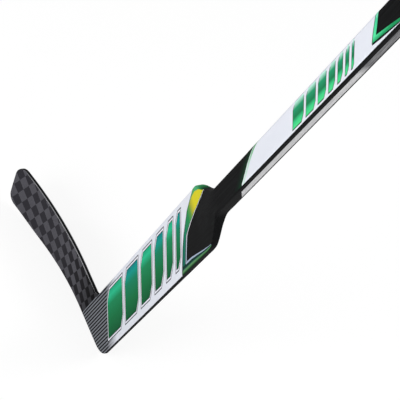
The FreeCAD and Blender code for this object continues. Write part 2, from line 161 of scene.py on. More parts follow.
def bent(x, z, offset):
    """Points of the blade in metres: past the bend's start, the middle surface follows a circle seen from
    above, with one radius at the sole and a larger one at the top, mixed evenly with height."""
    past = np.minimum(x + BEND_START, 0)
    sole = np.sqrt((SOLE_BEND - offset) ** 2 - past ** 2) - SOLE_BEND
    top = np.sqrt((TOP_BEND - offset) ** 2 - past ** 2) - TOP_BEND
    y = sole + (top - sole) * z / TOP_BEND_HEIGHT
    return np.stack([x, y, z], -1) / METRE


def grid_faces(rows, columns, ring=False, flip=False):
    """Quads between neighbouring points of a grid, as rows of four indices; ring joins the last column to the
    first, and flip turns the faces over."""
    index = np.arange(rows * columns).reshape(rows, columns)
    if ring:
        index = np.concatenate([index, index[:, :1]], 1)
    corners = [index[:-1, :-1], index[1:, :-1], index[1:, 1:], index[:-1, 1:]]
    return np.stack(corners[::-1] if flip else corners, -1).reshape(-1, 4)


def add_piece(name, points, faces, material, uv=None, thickness=0, merge=False, stands_for=()):
    """Smooth mesh piece on the stick's one body. Points are in metres and uv in metres along the surface;
    a thickness, in millimetres, closes an open sheet inwards, and merge welds seams and turns faces out."""
    mesh = bpy.data.meshes.new(name)
    mesh.from_pydata(np.reshape(points, (-1, 3)).tolist(), [], [list(face) for face in faces])
    if uv is not None:
        corner = np.empty(len(mesh.loops), np.int32)
        mesh.loops.foreach_get("vertex_index", corner)
        layer = mesh.uv_layers.new(name="along_stick")
        layer.data.foreach_set("uv", np.reshape(uv, (-1, 2))[corner].astype(np.float32).ravel())
    if merge:
        work = bmesh.new()
        work.from_mesh(mesh)
        bmesh.ops.remove_doubles(work, verts=work.verts, dist=WELD_DISTANCE)
        bmesh.ops.recalc_face_normals(work, faces=work.faces)
        work.to_mesh(mesh)
        work.free()
    mesh.shade_smooth()
    mesh.set_sharp_from_angle(angle=SHARP_ANGLE)
    mesh.materials.append(material)
    piece = bpy.data.objects.new(name, mesh)
    bpy.context.scene.collection.objects.link(piece)
    if thickness:
        shell = piece.modifiers.new("thickness", "SOLIDIFY")
        shell.thickness = thickness / METRE
        shell.offset = -1
        piece.modifiers.new("even_shading", "WEIGHTED_NORMAL")
    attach(piece, "root")
    if stands_for:
        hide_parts(*stands_for)


joint_lean = 1 / math.tan(LIE)
web_top = BLADE_TOP + NOTCH_SIZE * math.sin(LIE)
joint_foot = JOINT_LAP - HALF_SOLE
sole_edge = rounded_path([
    (joint_foot, 0), (BLADE_TOE + ROCKER_REACH, 0, ROCKER_RADIUS),
    (BLADE_TOE, TOE_LOW, TOE_LOW_RADIUS), (BLADE_TOE, TOE_BELLY)], BLADE_ROWS)
top_edge = rounded_path([
    (joint_foot + web_top * joint_lean, web_top),
    (joint_foot - JOINT_LAP + BLADE_TOP * joint_lean - NOTCH_SIZE, BLADE_TOP, NOTCH_RADIUS),
    (BLADE_TOE + TOE_TOP_INSET, TOE_TOP, TOE_TOP_RADIUS), (BLADE_TOE, TOE_BELLY)], BLADE_ROWS)

# Carbon under a thin clear coat: nearly black, with faint streaks of the fibres along the stick and a soft
# gloss. The coat's weight is low, because the polished resin is thin and the fibres under it scatter.
STREAK_LENGTH, STREAK_WIDTH = 90.0, 1.6
carbon_gloss, tree, shader = new_finish("clear_coated_carbon", {
    "Specular IOR Level": 0.0, "Coat Weight": 0.055, "Coat Roughness": 0.14, "Coat IOR": 1.5})
coordinates = add_node(tree, "ShaderNodeTexCoord", {})
turned = add_node(tree, "ShaderNodeMapping", {
    "Vector": coordinates.outputs["Object"], "Rotation": (0, -LIE, 0),
    "Scale": (STREAK_LENGTH / METRE, STREAK_WIDTH / METRE, STREAK_WIDTH / METRE)}, vector_type="TEXTURE")
streaks = add_node(tree, "ShaderNodeTexNoise", {
    "Vector": turned.outputs["Vector"], "Scale": 1.0, "Detail": 3.0})
tone = add_node(tree, "ShaderNodeValToRGB", {"Fac": streaks.outputs["Fac"]}, stops=(
    (0.30, "#0a0a0b"), (0.72, "#161718")))
grain = add_node(tree, "ShaderNodeMapRange", {
    "Value": streaks.outputs["Fac"], "To Min": 0.38, "To Max": 0.52})
tree.links.new(tone.outputs["Color"], shader.inputs["Base Color"])
tree.links.new(grain.outputs["Result"], shader.inputs["Roughness"])

x, z, height = plate_face(sole_edge, top_edge, 0, 0)
x, z = (np.concatenate([part[:, :1], part, part[:, -1:]], 1) for part in (x, z))
height = np.pad(height, ((0, 0), (1, 1)))
rows, columns = x.shape
front, back = bent(x, z, height), bent(x, z, -height)
joint_face = np.concatenate([np.arange(columns), rows * columns + np.arange(columns)[::-1]])
faces = [*grid_faces(rows, columns), *(grid_faces(rows, columns, flip=True) + rows * columns), joint_face]
add_piece("blade_body", np.concatenate([front, back]), faces, carbon_gloss, merge=True,
          stands_for=("blade_edge_wrap",))

# Blade skins
# Each broad side is a sheet of spread-tow carbon: flat tows about 20 mm wide, woven plain, so it reads as a
# large checker. The tows lie along and across the shaft, and the sheets run to the rounds of the rim. Their
# centre is the middle of a dark cell, because the checker gives its second colour to its first cell.
SKIN_LIFT = 0.06
SKIN_FROM = math.radians(38)
TOW_ACROSS, TOW_ALONG = 17.48, 21.71
TOW_TURN = math.radians(31.17)
TOW_CENTRE = (30.29, 4.51)
FIBRE_WIDTH = 0.9
FIBRE_RUNS = 4.0
# Light and dark tows, each a tone at the heel, a paler one at the toe and the places between; the darker heel
# tones are painted shade.
tow_colours_and_painted_shade = (("#333336", "#56555b", -40.0, 40.0), ("#0a0a0b", "#343338", -45.0, 110.0))

# Spread-tow carbon under a satin clear coat. Each tow's colour runs from a darker tone at the heel to a paler
# one at the toe, between two places along the blade: this darkening towards the heel is painted shade. Fine
# streaks follow its fibres.
carbon_weave, tree, shader = new_finish("spread_tow_carbon", {
    "Roughness": 0.42, "Specular IOR Level": 0.0, "Coat Weight": 0.035, "Coat Roughness": 0.22,
    "Coat IOR": 1.5})
coordinates = add_node(tree, "ShaderNodeUVMap", {}, uv_map="along_stick")
cell_corner = (TOW_CENTRE[0] - TOW_ACROSS / 2, TOW_CENTRE[1] - TOW_ALONG / 2)
corner_on_blade = (
    (cell_corner[0] * math.cos(TOW_TURN) - cell_corner[1] * math.sin(TOW_TURN)) / METRE,
    (cell_corner[0] * math.sin(TOW_TURN) + cell_corner[1] * math.cos(TOW_TURN)) / METRE, -0.5)
cells = add_node(tree, "ShaderNodeMapping", {
    "Vector": coordinates.outputs["UV"], "Location": corner_on_blade, "Rotation": (0, 0, TOW_TURN),
    "Scale": (TOW_ACROSS / METRE, TOW_ALONG / METRE, 1)}, vector_type="TEXTURE")
place = add_node(tree, "ShaderNodeSeparateXYZ", {"Vector": coordinates.outputs["UV"]})
tow_tones_and_painted_shade = []
# Painted shade: each tow's colour darkens from the toe towards the heel.
for near, far, start, end in tow_colours_and_painted_shade:
    reach = add_node(tree, "ShaderNodeMapRange", {
        "Value": place.outputs["X"], "From Min": start / METRE, "From Max": end / METRE})
    tow_tones_and_painted_shade.append(add_node(tree, "ShaderNodeMix", {
        "Factor": reach.outputs["Result"], "A": linear(near), "B": linear(far)}, data_type="RGBA"))
checker = add_node(tree, "ShaderNodeTexChecker", {
    "Vector": cells.outputs["Vector"], "Color1": tow_tones_and_painted_shade[0].outputs["Result"],
    "Color2": tow_tones_and_painted_shade[1].outputs["Result"], "Scale": 1.0})
fibres = []
for lengthwise, crosswise in ((FIBRE_RUNS, TOW_ALONG / FIBRE_WIDTH), (TOW_ACROSS / FIBRE_WIDTH, FIBRE_RUNS)):
    stretched = add_node(tree, "ShaderNodeMapping", {
        "Vector": cells.outputs["Vector"], "Scale": (lengthwise, crosswise, 1)})
    fibres.append(add_node(tree, "ShaderNodeTexNoise", {
        "Vector": stretched.outputs["Vector"], "Scale": 1.0, "Detail": 2.0}))
fibre = add_node(tree, "ShaderNodeMix", {
    "Factor": checker.outputs["Fac"], "A": fibres[0].outputs["Fac"], "B": fibres[1].outputs["Fac"]})
shade = add_node(tree, "ShaderNodeMapRange", {
    "Value": fibre.outputs["Result"], "To Min": 0.72, "To Max": 1.28})
toned = add_node(tree, "ShaderNodeVectorMath", {
    0: checker.outputs["Color"], "Scale": shade.outputs["Result"]}, operation="SCALE")
relief = add_node(tree, "ShaderNodeBump", {
    "Height": fibre.outputs["Result"], "Strength": 0.08, "Distance": 0.05 / METRE})
tree.links.new(toned.outputs["Vector"], shader.inputs["Base Color"])
tree.links.new(relief.outputs["Normal"], shader.inputs["Normal"])

inside_joint = np.linspace(-JOINT_LAP, 0, BLADE_ROWS)[:, None] * [[1, 0]]
x, z, height = plate_face(sole_edge + inside_joint, top_edge + inside_joint, SKIN_FROM, SKIN_LIFT)
mean_bend = (SOLE_BEND + TOP_BEND) / 2
toward_toe = -BEND_START - x
unrolled = np.where(toward_toe > 0, mean_bend * np.arcsin(toward_toe.clip(0) / mean_bend), toward_toe)
for face, side in SIDES:
    add_piece(f"blade_{face}_skin_weave", bent(x, z, side * height), grid_faces(*x.shape, flip=side > 0),
              carbon_weave, uv=np.stack([unrolled, z], -1) / METRE,
              thickness=SKIN_LIFT / 2, stands_for=(f"blade_{face}_skin",))

# Gloss and painted highlight along the blade's top
# The clear coat gathers on the round between the broad side and the top of the blade, so the edge shines, and
# the strip's light grey colour is a painted highlight on top of that shine. The line thins out at both ends.
GLOSS_ROWS, GLOSS_COLUMNS = 172, 7
GLOSS_FADE_HEEL, GLOSS_FADE_TOE = 34, 20
GLOSS_LEAST = 0.05
GLOSS_MIDDLE, GLOSS_HALF = 32.0, 22.0
# The light grey base colour is a painted highlight; the full clear coat adds real shine over it.
edge_coat_and_painted_highlight = new_finish("thick_clear_coat_painted_highlight", {
    "Base Color": linear("#5a5b5f"), "Roughness": 0.3, "Specular IOR Level": 0.5, "Coat Weight": 1.0,
    "Coat Roughness": 0.18})[0]
row = np.arange(GLOSS_ROWS)[:, None]
breadth = np.minimum(row / GLOSS_FADE_HEEL, (GLOSS_ROWS - row) / GLOSS_FADE_TOE)
breadth = np.clip(breadth, GLOSS_LEAST, 1)
angle = np.radians(GLOSS_MIDDLE + breadth * np.linspace(-GLOSS_HALF, GLOSS_HALF, GLOSS_COLUMNS))
inset = EDGE_ROUND - (EDGE_ROUND + 2 * SKIN_LIFT) * np.cos(angle)
height = HALF_BLADE - EDGE_ROUND + (EDGE_ROUND + 2 * SKIN_LIFT) * np.sin(angle)
rim = ((top_edge + inside_joint)[:GLOSS_ROWS, None]
       + normals_of(top_edge, 1)[:GLOSS_ROWS, None] * inset[..., None])
for face, side in SIDES:
    add_piece(f"blade_{face}_top_gloss_painted_highlight", bent(rim[..., 0], rim[..., 1], side * height),
              grid_faces(*rim.shape[:2], flip=side < 0), edge_coat_and_painted_highlight, thickness=SKIN_LIFT / 2)

# Throat
# The shoulder between the flat paddle and the tube of the shaft is one carbon moulding. A ridge rises out of
# the paddle into the shaft, and the shoulder on the blade's side stands higher, for the first finger.
THROAT_FOOT = 645.33
THROAT_LENGTH = 123.0
SHAFT_FOOT = THROAT_FOOT + THROAT_LENGTH
HEEL_TOP = 93.33
PADDLE_LENGTH = THROAT_FOOT - HEEL_TOP
PADDLE_THROAT_HALF = 4.75
HALF_SHAFT = 15.5
HALF_SHAFT_DEPTH = 10.75
SHAFT_CORNER = 3.5
CROWN_HALF_WIDTH = 30.0
THROAT_ROWS, THROAT_CROWN_STEPS = 90, 60
station_shares = np.array([0.0, 0.15, 0.30, 0.45, 0.60, 0.75, 0.88, 1.0])
inner_width_shares = np.array([1.0, 1.0, 0.985, 0.76, 0.41, 0.16, 0.02, 0.0])
outer_width_shares = np.array([1.0, 1.0, 0.925, 0.675, 0.34, 0.05, 0.0, 0.0])
edge_shares = np.array([0.0, 0.03, 0.08, 0.15, 0.26, 0.45, 0.75, 1.0])
ridge_shares = np.array([0.0, 0.12, 0.32, 0.54, 0.74, 0.90, 0.98, 1.0])


def posed(u, v, n):
    """Points in metres from the stick's own frame: u up the shaft from the ice, v towards the blade, n out of
    the forehand face. The shaft leans at the lie angle."""
    u, v, n = np.broadcast_arrays(u, v, n)
    x = u * math.cos(LIE) - v * math.sin(LIE)
    z = u * math.sin(LIE) + v * math.cos(LIE)
    return np.stack([x, -n, z], -1) / METRE


def throat_share(u, shares):
    """Share at stations: cubic curves through the table, with the slope at each entry taken from its
    neighbours and none at the ends."""
    place = np.clip((u - THROAT_FOOT) / THROAT_LENGTH, 0, 1)
    slopes = np.gradient(shares, station_shares)
    slopes[[0, -1]] = 0
    cell = np.clip(np.searchsorted(station_shares, place) - 1, 0, len(shares) - 2)
    step = station_shares[cell + 1] - station_shares[cell]
    t = (place - station_shares[cell]) / step
    rise = t * t * (3 - 2 * t)
    leave = step * slopes[cell] * t * (1 - t) ** 2
    arrive = step * slopes[cell + 1] * t * t * (t - 1)
    return shares[cell] * (1 - rise) + shares[cell + 1] * rise + leave + arrive


def half_width(u, shares):
    """From the centreline to the edge at stations: the paddle's half width, then down to the shaft's."""
    return HALF_SHAFT + (HALF_PADDLE - HALF_SHAFT) * throat_share(u, shares)


def corner_radius(u):
    """Round of the edges at stations: the paddle's, growing to the shaft's."""
    return EDGE_ROUND + (SHAFT_CORNER - EDGE_ROUND) * throat_share(u, edge_shares)


def crown(u, v):
    """Half thickness at stations: the paddle swells evenly to the throat, and from there the edges and the
    ridge rise to the shaft's half depth. Between ridge and edge it falls with the squared cosine of v."""
    swell = np.clip((u - HEEL_TOP) / PADDLE_LENGTH, 0, 1)
    foot = HALF_BLADE + swell * (PADDLE_THROAT_HALF - HALF_BLADE)
    rise = HALF_SHAFT_DEPTH - PADDLE_THROAT_HALF
    edge = foot + rise * throat_share(u, edge_shares)
    ridge = foot + rise * throat_share(u, ridge_shares)
    return edge + (ridge - edge) * np.cos(np.pi / 2 * np.minimum(np.abs(v) / CROWN_HALF_WIDTH, 1)) ** 2


def there_and_back(v, n):
    """Rows of v and n on the front, followed by the same rows mirrored on the back, in turned order."""
    return np.concatenate([v, v[:, ::-1]], 1), np.concatenate([n, -n[:, ::-1]], 1)


def body_rings(u, crown_steps):
    """Sections across the stick at stations, as rings of v and n: outer round, crown, inner round, and the
    same on the back, where a round is a quarter circle at the edge."""
    u = u[:, None]
    radius = corner_radius(u)
    outer = half_width(u, outer_width_shares) - radius
    inner = half_width(u, inner_width_shares) - radius
    angle = np.linspace(np.pi / 2, 0, RIM_STEPS)
    level = -outer + (inner + outer) * np.linspace(0, 1, crown_steps)[1:-1]
    v = np.concatenate([-outer - radius * np.sin(angle), level, inner + radius * np.sin(angle[::-1])], 1)
    n = np.concatenate([
        crown(u, outer) - radius * (1 - np.cos(angle)), crown(u, level),
        crown(u, inner) - radius * (1 - np.cos(angle[::-1]))], 1)
    return there_and_back(v, n)


def add_body(name, stations, crown_steps, solid):
    """Closed piece of the stick's black body: its rings, joined along the stick and capped at both ends."""
    v, n = body_rings(stations, crown_steps)
    rows, columns = v.shape
    ends = [np.arange(columns), (rows - 1) * columns + np.arange(columns)[::-1]]
    add_piece(name, posed(stations[:, None], v, n), [*grid_faces(rows, columns, ring=True), *ends],
              carbon_gloss, merge=True, stands_for=(solid,))


add_body("throat_shell", np.linspace(THROAT_FOOT, SHAFT_FOOT, THROAT_ROWS), THROAT_CROWN_STEPS,
         "throat_moulding")

# Heel, rails and paddle skins
# Under the films the paddle is a sandwich between two carbon rails, closed by a solid heel. Only the rounded
# outer edges stay bare, so these solids keep their own shape and take the clear-coated carbon.


def dress(material, names):
    """Gives a finish to solids that keep their own shape."""
    for name in names:
        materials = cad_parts[name].data.materials
        materials.clear()
        materials.append(material)


dress(carbon_gloss, (
    "heel_block", "paddle_inner_rail", "paddle_outer_rail", "paddle_front_skin", "paddle_back_skin"))

# Paddle films
# A white printed film covers each broad side from the sole to the green panel and folds over the rounds of
# the sole and of both long edges, less far at the outer one. At the heel it carries dark pinstripes along
# the stick that fade out.
FILM_LIFT = 0.15
FILM_BODY = 0.12
FOLD_INSET, OUTER_FOLD_INSET = 0.25, 0.8
FILM_ROWS, FILM_COLUMNS = 150, 46
FILM_UNDERLAP = 2.0
SOLE_ROW = 0.06
STRIPE_PITCH = 5.05
STRIPE_MIDDLE = 0.2
STRIPE_SOFTNESS = 0.25
STRIPE_SLANT = -0.92
STRIPE_FADE_START, STRIPE_FADE_END = 112.0, 178.0
NOTCH_STATION = HEEL_TOP - NOTCH_SIZE
HEEL_RADIUS = 50.0
HEEL_CENTRE = ((HEEL_RADIUS - (HEEL_RADIUS - HALF_PADDLE) * math.cos(LIE)) / math.sin(LIE),
               HEEL_RADIUS - HALF_PADDLE)
HEEL_TANGENT = HEEL_CENTRE[1] - HEEL_RADIUS * math.cos(LIE)
green_border_v = (-45.0, -29.5, -10.2, 3.2, 13.8, 25.5, 34.5, 41.2, 45.0)
green_border_u = (531.0, 546.0, 567.0, 585.0, 603.0, 622.5, 645.5, 665.5, 684.0)


def edge_distance(u, v):
    """Distance in from the stick's outline: to the sole's line, to the heel's circle in its corner, and to
    the two long edges, of which the inner one starts above the joint with the blade."""
    above_ice = u * math.sin(LIE) + v * math.cos(LIE)
    du, dv = u - HEEL_CENTRE[0], v - HEEL_CENTRE[1]
    in_corner = (du < 0) & (du * math.cos(LIE) - dv * math.sin(LIE) > 0)
    below = np.where(in_corner, HEEL_RADIUS - np.hypot(du, dv), above_ice)
    joint = np.where(u < NOTCH_STATION, HALF_PADDLE, 0)
    inner = half_width(u, inner_width_shares) - v + joint
    outer = half_width(u, outer_width_shares) + v
    return np.minimum(np.minimum(below, inner), outer)


def on_face(u, v, lift, side):
    """Points on the stick's front (side 1) or back (-1): the crown, less the drop of the rounded edge, which
    is radius - sqrt(radius² - (radius - distance)²), raised by a lift."""
    u, v = np.broadcast_arrays(u, v)
    radius = corner_radius(u)
    to_edge = np.clip(edge_distance(u, v), 0, radius)
    drop = radius - np.sqrt(radius ** 2 - (radius - to_edge) ** 2)
    inner = half_width(u, inner_width_shares) - radius
    outer = half_width(u, outer_width_shares) - radius
    return posed(u, v, side * (crown(u, np.clip(v, -outer, inner)) - drop + lift))


def add_layer(name, u, v, lift, side, material, body=FILM_BODY, blend=None, stands_for=()):
    """Thin film or ink on the front or back, over a grid of places on the stick. A blend, 0 to 1 over the
    grid, takes the place of v for its colour."""
    u, v = np.broadcast_arrays(u, v)
    tint = v / METRE if blend is None else np.broadcast_to(blend, v.shape)
    add_piece(name, on_face(u, v, lift, side), grid_faces(*u.shape, flip=side < 0), material,
              uv=np.stack([u / METRE, tint], -1), thickness=body, stands_for=stands_for)


# Glossy printed polyester film: a white with a cool cast, smooth, under a clear coat. The pinstripes follow
# the sine of v.
white_film, tree, shader = new_finish("printed_white_film", {
    "Roughness": 0.32, "Specular IOR Level": 0.0, "Coat Weight": 0.05, "Coat Roughness": 0.1})
coordinates = add_node(tree, "ShaderNodeUVMap", {}, uv_map="along_stick")
place = add_node(tree, "ShaderNodeSeparateXYZ", {"Vector": coordinates.outputs["UV"]})
turns = add_node(tree, "ShaderNodeMath", {
    0: place.outputs["Y"], 1: 2 * math.pi * METRE / STRIPE_PITCH,
    2: math.pi / 2 - 2 * math.pi * STRIPE_MIDDLE / STRIPE_PITCH}, operation="MULTIPLY_ADD")
wave = add_node(tree, "ShaderNodeMath", {0: turns.outputs["Value"]}, operation="SINE")
stripe = add_node(tree, "ShaderNodeMapRange", {
    "Value": wave.outputs["Value"], "From Min": -STRIPE_SOFTNESS, "From Max": STRIPE_SOFTNESS})
stripe_tone = add_node(tree, "ShaderNodeMix", {
    "Factor": stripe.outputs["Result"], "A": linear("#7d8087"), "B": linear("#0d0e10")}, data_type="RGBA")
slant = add_node(tree, "ShaderNodeMath", {
    0: place.outputs["Y"], 1: STRIPE_SLANT, 2: place.outputs["X"]}, operation="MULTIPLY_ADD")
fade = add_node(tree, "ShaderNodeMapRange", {
    "Value": slant.outputs["Value"],
    "From Min": STRIPE_FADE_START / METRE, "From Max": STRIPE_FADE_END / METRE})
ground = add_node(tree, "ShaderNodeMix", {
    "Factor": fade.outputs["Result"], "A": stripe_tone.outputs["Result"], "B": linear("#e4e7f0")},
    data_type="RGBA")
tree.links.new(ground.outputs["Result"], shader.inputs["Base Color"])

outer_fold, inner_fold = (
    inset + (EDGE_ROUND - inset) * np.linspace(0, 1, RIM_STEPS) ** 2
    for inset in (OUTER_FOLD_INSET, FOLD_INSET))
flat = HALF_PADDLE - EDGE_ROUND
v = np.concatenate([
    outer_fold - HALF_PADDLE, np.linspace(-flat, flat, FILM_COLUMNS)[1:-1], HALF_PADDLE - inner_fold[::-1]])
on_sole = (FOLD_INSET - v * math.cos(LIE)) / math.sin(LIE)
heel_reach = np.maximum((HEEL_RADIUS - FOLD_INSET) ** 2 - (v - HEEL_CENTRE[1]) ** 2, 0)
on_heel = HEEL_CENTRE[0] - np.sqrt(heel_reach)
film_foot = np.where(v > HEEL_TANGENT, on_sole, on_heel)
film_head = np.interp(v, green_border_v, green_border_u) + FILM_UNDERLAP
row_share = np.concatenate([
    np.linspace(0, SOLE_ROW, RIM_STEPS)[:-1] ** 2, np.linspace(SOLE_ROW ** 2, 1, FILM_ROWS)])[:, None]
u = film_foot + (film_head - film_foot) * row_share
for face, side in SIDES:
    add_layer(f"paddle_{face}_film_print", u, v, FILM_LIFT, side, white_film,
              stands_for=(f"paddle_{face}_film",))

# Slanted bars on the paddle
# Six slanted bars of falling width are printed along the white, each green from bright above to deep below,
# inside a dark line, a white margin and an outer hairline. They are screen inks, each layer a thin sheet.
INK_STEP = 0.03
INK_BODY = 0.02
BAR_SLANT = 0.9
BAR_LOW, BAR_HIGH = -29.0, 33.0
BAR_START = 96.0
BAR_GAP = 21.0
BAR_CLIP = 13.0
BAR_ROWS, BAR_CELL, BAR_LEAST_COLUMNS = 9, 6.0, 8
CLIP_LAG, CLIP_SLOPE = 0.4, 1.1
HAIRLINE_GROW, MARGIN_GROW, LINE_GROW = 4.8, 3.4, 1.1
bar_widths = (96.0, 80.0, 62.0, 46.0, 32.0, 20.0)


def clipped_bar(start, width, low, high, clip, grow):
    """Slanted bar with two opposite corners clipped, as a grid of places: at each v, u runs from the left
    side to the right one, both lines of the slant; the clips move the left side in near the top and the right
    near the foot, and are never longer than half the width. Grow widens it all round."""
    clip = min(clip, width / 2)
    v = np.unique(np.concatenate([
        np.linspace(low - grow, high + grow, BAR_ROWS), [high - clip, low + clip]]))[:, None]
    reach = grow * math.hypot(1, BAR_SLANT)
    left = start + BAR_SLANT * (v - low) - reach
    right = start + width + BAR_SLANT * (v - low) + reach
    left = left + np.maximum(v - (high - clip) - grow * CLIP_LAG, 0) * CLIP_SLOPE
    right = right - np.maximum((low + clip) - v - grow * CLIP_LAG, 0) * CLIP_SLOPE
    share = np.linspace(0, 1, max(BAR_LEAST_COLUMNS, int(width / BAR_CELL)))
    return left + (right - left) * share, v


# Screen inks: even colour, glossy under the film's coat. The greens change with v, as blended inks do.
def new_ink(name, stops, low, high):
    """Ink whose colour runs through hex stops from one v to another."""
    material, tree, shader = new_finish(name, {
        "Roughness": 0.3, "Specular IOR Level": 0.0, "Coat Weight": 0.05, "Coat Roughness": 0.08})
    coordinates = add_node(tree, "ShaderNodeUVMap", {}, uv_map="along_stick")
    place = add_node(tree, "ShaderNodeSeparateXYZ", {"Vector": coordinates.outputs["UV"]})
    share = add_node(tree, "ShaderNodeMapRange", {
        "Value": place.outputs["Y"], "From Min": low / METRE, "From Max": high / METRE})
    ramp = add_node(tree, "ShaderNodeValToRGB", {"Fac": share.outputs["Result"]}, stops=stops)
    tree.links.new(ramp.outputs["Color"], shader.inputs["Base Color"])
    return material


green_stops = ((0, "#0f5c34"), (0.35, "#157443"))
bar_greens = [
    new_ink("green_ink", (*green_stops, (0.7, "#1c8a58"), (0.88, "#2bc08f"), (1, "#1fa87d")),
            BAR_LOW, BAR_HIGH),
    new_ink("teal_ink", (*green_stops, (0.7, "#17835f"), (0.88, "#109a8c"), (1, "#0f8388")),
            BAR_LOW, BAR_HIGH)]
dark_line = new_ink("dark_line_ink", ((0, "#0a120e"), (1, "#0f1713")), BAR_LOW, BAR_HIGH)
white_margin = new_ink("white_margin_ink", ((0, "#e9ebf4"), (1, "#eef0f8")), BAR_LOW, BAR_HIGH)
hairline = new_ink("hairline_ink", ((0, "#1a1d21"), (1, "#212429")), BAR_LOW, BAR_HIGH)
under_inks = ((hairline, HAIRLINE_GROW), (white_margin, MARGIN_GROW), (dark_line, LINE_GROW))
bar_start = BAR_START
for index, width in enumerate(bar_widths):
    for level, (ink, grow) in enumerate((*under_inks, (bar_greens[index % 2], 0.0))):
        u, v = clipped_bar(bar_start, width, BAR_LOW, BAR_HIGH, BAR_CLIP, grow)
        for face, side in SIDES:
            add_layer(f"paddle_{face}_bar_{index + 1}_layer_{level + 1}", u, v,
                      FILM_LIFT + (level + 1) * INK_STEP, side, ink, body=INK_BODY)
    bar_start += width + BAR_GAP

# Panel at the throat
# A green band with a lime flash frames the black shoulder: one arm climbs from the outer edge to the inner
# shoulder, the other runs along the outer edge. A pale keyline parts the band from the black.
PANEL_STEPS, PANEL_COLUMNS = 60, 24
PANEL_START, PANEL_LENGTH = 545.0, 175.0
SHOULDER_START, SHOULDER_END = 672.0, 717.0
SHOULDER_ROWS = 24
RAIL_END = 684.0
BORDER_START_SHIFT = 1.2
BORDER_LINE, INNER_LINE = 2.6, 3.4
KEYLINE_START, KEYLINE_END = 4.2, 3.2
WRAP_FROM = 48.0
WRAP_STEPS = 7
panel_corner = (542.0, -33.8)
border_end = (676.0, 43.0)
keyline_path = ((561.0, -33.8), (580.5, -14.8), (594.0, -2.8), (601.0, 0.5), (626.5, 8.8), (652.5, 15.6),
                (670.0, 18.7), (693.5, 24.0), (713.0, 28.5))
lower_key_outer = (
    (561.0, -34.4), (592.0, -34.6), (617.0, -36.4), (645.0, -38.5), (672.0, -40.0), (684.0, -40.2))
lower_key_inner = (
    (571.0, -31.9), (594.0, -32.4), (618.0, -34.6), (645.5, -37.1), (673.0, -39.3), (685.0, -39.95))
flash_top = ((624.0, 26.2), (659.0, 36.0), (675.5, 38.0), (692.5, 35.8), (705.0, 30.8), (713.5, 28.4))
wrap_stations, wrap_tints = (SHOULDER_START, 684.0, 700.0, SHOULDER_END), (1, 0.62, 0.78, 1)


def band(first, second, across):
    """Grid of places between two paths of the same count, shared out evenly across."""
    share = np.linspace(0, 1, across)[:, None]
    grid = first[:, None] * (1 - share) + second[:, None] * share
    return grid[..., 0], grid[..., 1]


panel_green = new_ink("panel_blend_ink", (
    (0, "#1b6356"), (0.26, "#1f7a5c"), (0.44, "#2c8c50"), (0.52, "#5f9c48"), (0.58, "#b3ae36"),
    (0.66, "#d8cd2a"), (1, "#d6d02b")), 0, METRE)
rim_green = new_ink("rim_blend_ink", (
    (0, "#5f9c48"), (0.3, "#86b06c"), (0.5, "#52a65a"), (0.66, "#4bab7c"), (0.8, "#2c8a4e"),
    (0.92, "#17502f"), (1, "#0f1f17")), 0, METRE)
lower_green = new_ink("lower_blend_ink", (
    (0, "#13241a"), (0.14, "#1d4427"), (0.3, "#4f8552"), (0.46, "#5d9160"), (0.6, "#22584a"),
    (0.72, "#12352f")), 0, METRE)
teal_line = new_ink("teal_line_ink", ((0, "#12352f"), (1, "#1b463a")), -40, 40)
keyline = new_ink("keyline_ink", (
    (0, "#a3b2c8"), (0.4, "#c6cfdf"), (0.6, "#eceef4"), (1, "#f2f3f6")), -36, 30)
border_points = list(zip(green_border_u, green_border_v))
border_path = path_between([panel_corner, *border_points[1:-1], border_end], PANEL_STEPS)
border_start = (border_points[0][0] + BORDER_START_SHIFT, FOLD_INSET - HALF_PADDLE)
border_foot = path_between([border_start, *border_path], PANEL_STEPS)
band_path = path_between(keyline_path, PANEL_STEPS)
keyline_edge = band_path + np.linspace(KEYLINE_START, KEYLINE_END, PANEL_STEPS)[:, None] * [[1, 0]]
shoulder_u = np.linspace(SHOULDER_START, SHOULDER_END, SHOULDER_ROWS)
shoulder_edge = np.stack([shoulder_u, half_width(shoulder_u, inner_width_shares) - FOLD_INSET], 1)
shoulder_path = path_between([*border_points[5:8], *shoulder_edge], PANEL_STEPS)
flash_path = path_between(flash_top, PANEL_STEPS)
rail_u = np.linspace(border_foot[0, 0], RAIL_END, PANEL_STEPS)
rail_path = np.stack([rail_u, FOLD_INSET - half_width(rail_u, outer_width_shares)], 1)
lower_path = path_between([panel_corner, *lower_key_outer], PANEL_STEPS)
lower_key = [path_between(points, PANEL_STEPS) for points in (lower_key_outer, lower_key_inner)]
along, across = np.linspace(0, 1, PANEL_STEPS)[:, None], np.linspace(0, 1, PANEL_COLUMNS)
panel_parts = (
    ("upper_arm", band(border_path, band_path, PANEL_COLUMNS), panel_green, 1),
    ("lower_arm", band(rail_path, lower_path, PANEL_COLUMNS), lower_green, 1),
    ("shoulder", band(flash_path, shoulder_path, PANEL_COLUMNS), rim_green, 2),
    ("border_line", band(border_foot, border_foot + [[BORDER_LINE, 0]], 3), teal_line, 3),
    ("inner_line", band(band_path - [[INNER_LINE, 0]], band_path, 3), teal_line, 3),
    ("upper_keyline", band(band_path, keyline_edge, 4), keyline, 4),
    ("lower_keyline", band(*lower_key, 5), keyline, 4))
for face, side in SIDES:
    for name, (u, v), ink, level in panel_parts:
        blends = {panel_green: (u - PANEL_START) / PANEL_LENGTH, rim_green: along, lower_green: across}
        add_layer(f"panel_{face}_{name}", u, v, FILM_LIFT + level * INK_STEP, side, ink,
                  body=INK_BODY, blend=blends.get(ink))

